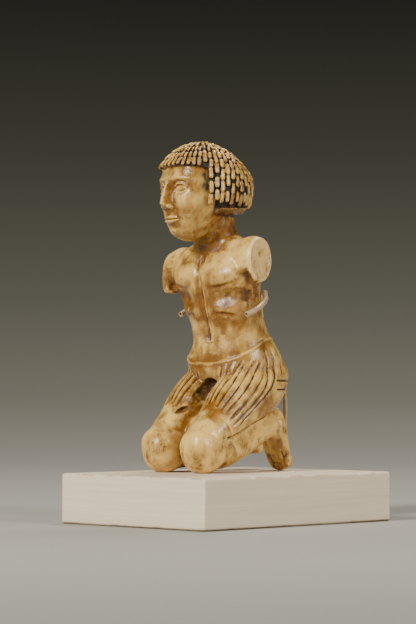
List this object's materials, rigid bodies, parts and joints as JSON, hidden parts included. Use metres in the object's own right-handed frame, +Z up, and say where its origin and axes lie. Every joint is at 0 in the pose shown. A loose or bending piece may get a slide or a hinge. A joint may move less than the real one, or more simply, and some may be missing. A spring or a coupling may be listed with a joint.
{
  "type": "bound captive figure",
  "caption": "Small carved ivory figure of a kneeling bound captive in a curled wig and pleated kilt, arms broken away, held by a wire clip on a painted wooden block.",
  "frame": {"origin": "middle of the block's underside", "axes": "+Z up, the figure faces -Y and its left side is +X"},
  "size_m": [0.051, 0.068, 0.0976],
  "materials": {
    "painted_wood": "matt warm off-white paint, worn at the edges",
    "clip_brass": "brass toned with thin grey-beige paint",
    "sleeve_tubing": "satin grey-beige tubing",
    "ivory": "polished yellowed ivory with brown stain in the recesses"
  },
  "bodies": {
    "root": {"base_block": "painted_wood", "mount_clip": "clip_brass", "clip_sleeve_left": "sleeve_tubing", "clip_sleeve_right": "sleeve_tubing", "captive_figure": "ivory"}
  },
  "joints": []
}
